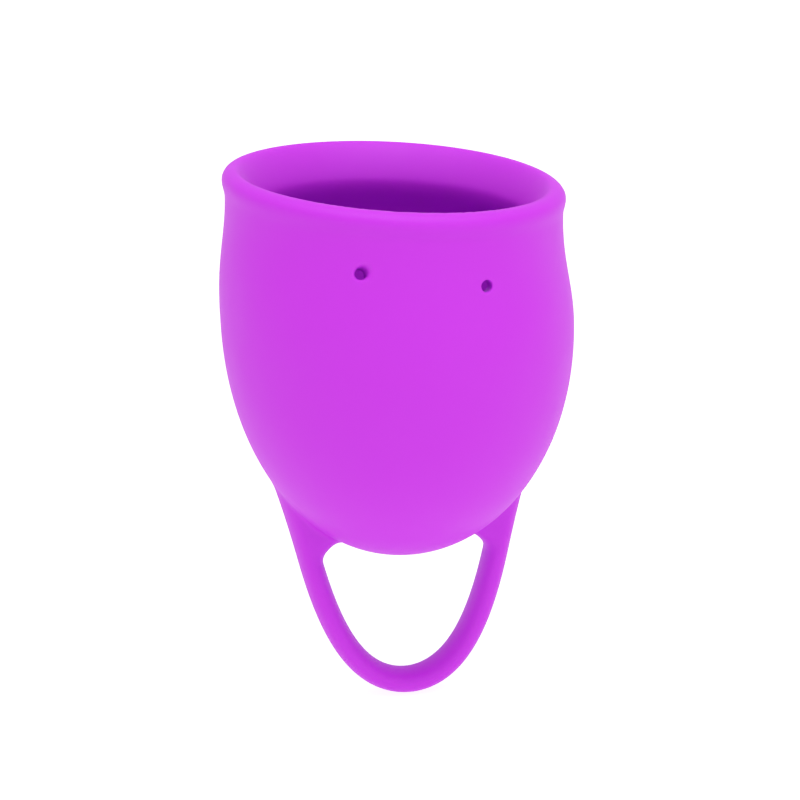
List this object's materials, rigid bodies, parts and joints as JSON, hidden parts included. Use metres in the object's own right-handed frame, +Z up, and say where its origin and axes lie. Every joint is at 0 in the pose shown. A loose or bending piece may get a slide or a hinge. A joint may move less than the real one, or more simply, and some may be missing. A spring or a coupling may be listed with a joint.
{
  "type": "menstrual cup with pull loop",
  "caption": "Soft silicone menstrual cup: a rounded bell-shaped bowl with a thick rolled rim, small air vents under it and a flexible pull loop below its base.",
  "frame": {"origin": "on the standing surface, under the lowest point of the pull loop, on the cup's axis", "axes": "+Z up along the cup's axis with the mouth up, the loop lies in the XZ plane, and -Y is the front"},
  "size_m": [0.044, 0.044, 0.0693],
  "materials": {
    "silicone": "soft matte, moulded silicone"
  },
  "bodies": {
    "cup": {"rim_bead": "silicone", "vent_collar": "silicone", "bowl_wall": "silicone", "bowl_base": "silicone", "loop_root_left": "silicone", "loop_root_right": "silicone", "loop_neck_left": "silicone", "loop_neck_right": "silicone"},
    "loop": {"loop_strand_left": "silicone", "loop_strand_right": "silicone", "loop_bight": "silicone"}
  },
  "joints": [
    {"name": "loop_swing", "type": "hinge", "parent": "cup", "child": "loop", "pos_m": [0, 0, 0.0132], "axis": [1, 0, 0], "range_deg": [-75, 75], "stiffness_Nm_per_rad": 0.005, "deforming": ["loop_neck_left", "loop_neck_right"]}
  ]
}
